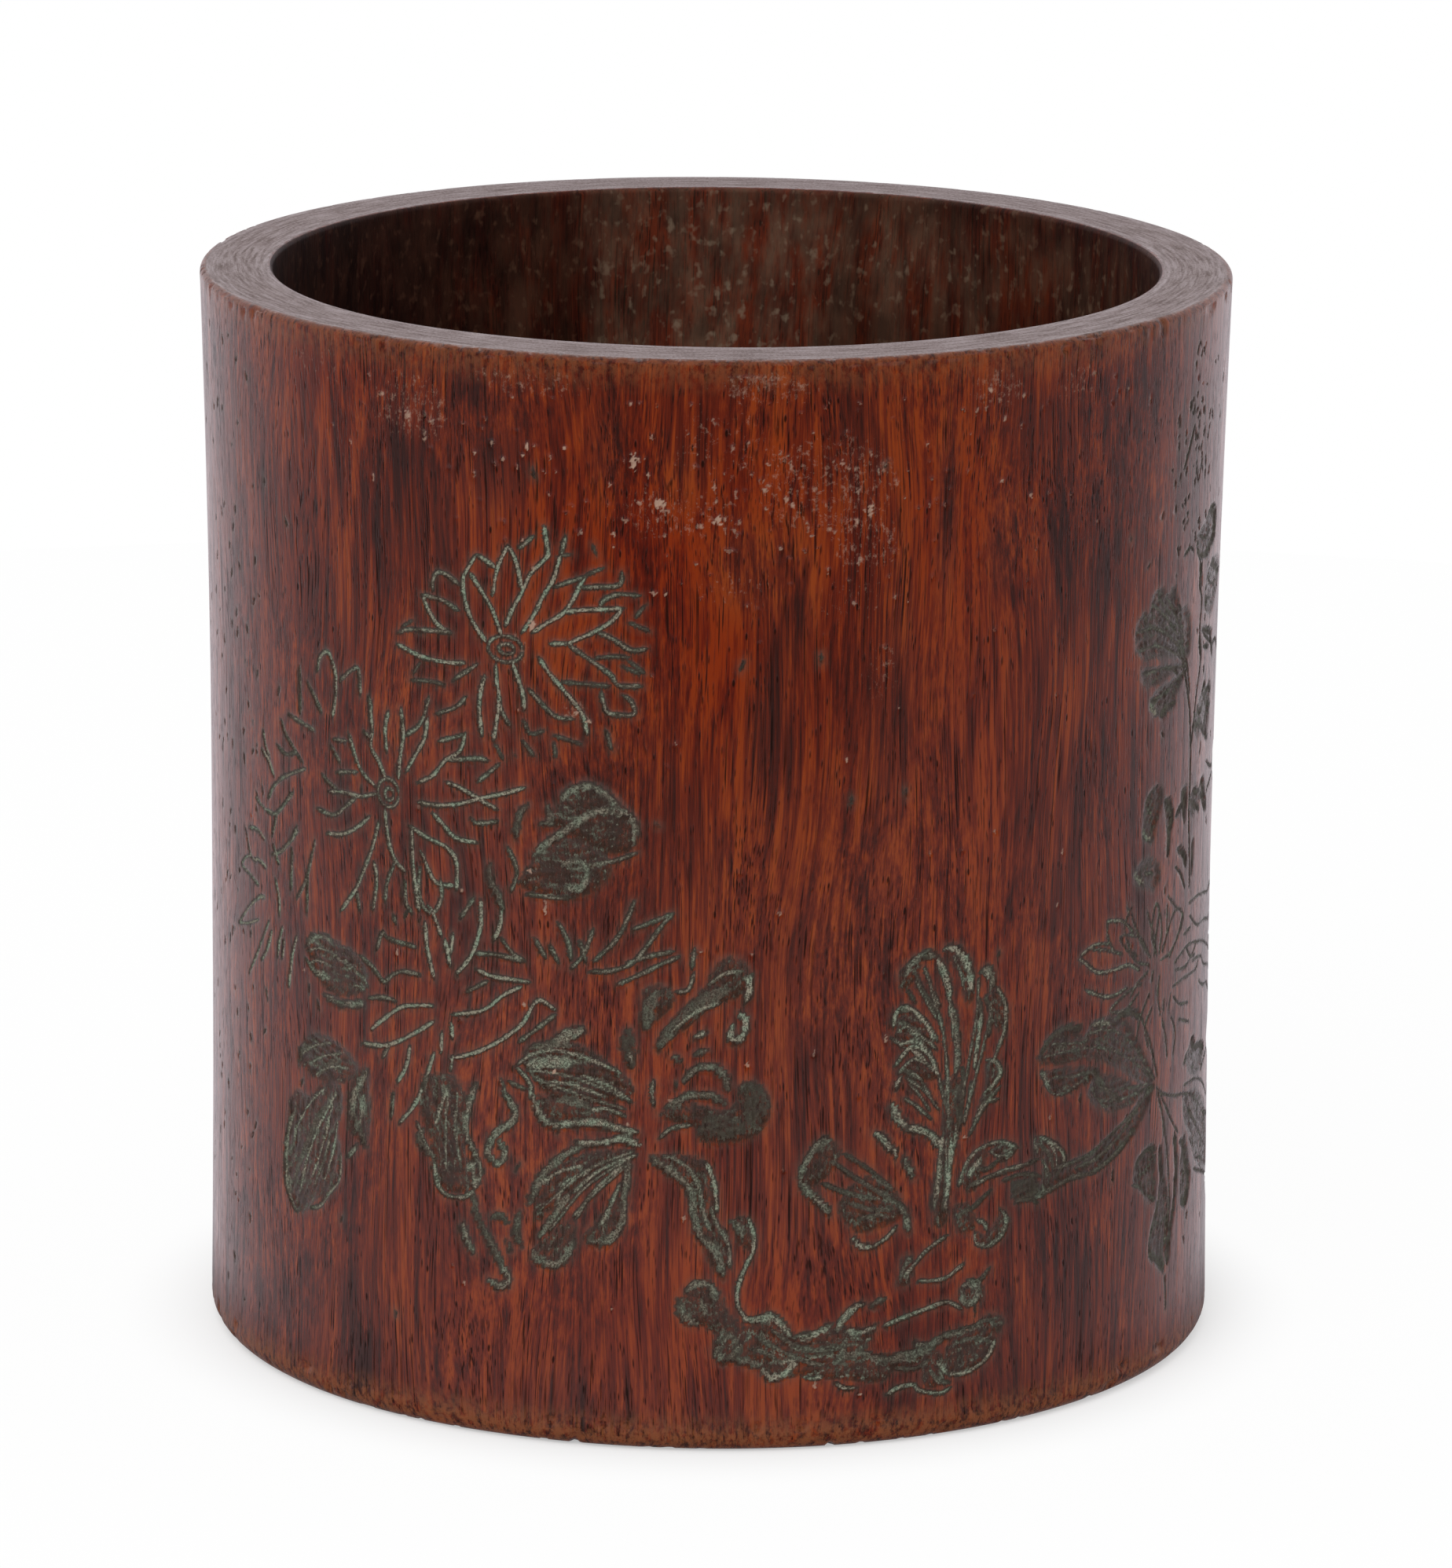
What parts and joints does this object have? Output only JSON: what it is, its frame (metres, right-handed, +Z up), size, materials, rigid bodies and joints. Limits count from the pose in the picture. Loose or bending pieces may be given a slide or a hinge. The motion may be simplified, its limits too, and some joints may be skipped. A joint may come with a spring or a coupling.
{
  "type": "brush pot",
  "caption": "Round thick-walled hardwood brush pot, slightly waisted, carved outside with flowering sprays, with an inset base board and a central plug.",
  "frame": {"origin": "centre of the foot, on the surface that the pot stands on", "axes": "+Z up along the pot's axis; the camera of the picture looks along +Y, so the carved side faces -Y"},
  "size_m": [0.1702, 0.1702, 0.1785],
  "materials": {
    "carved_hardwood": "waxed and worn, satin, with green colour rubbed into the carving",
    "base_hardwood": "plain, dry, cut across the grain",
    "plug_hardwood": "plain, dry, slightly polished by handling"
  },
  "bodies": {
    "root": {"wall": "carved_hardwood", "base_board": "base_hardwood", "base_plug": "plug_hardwood"}
  },
  "joints": []
}
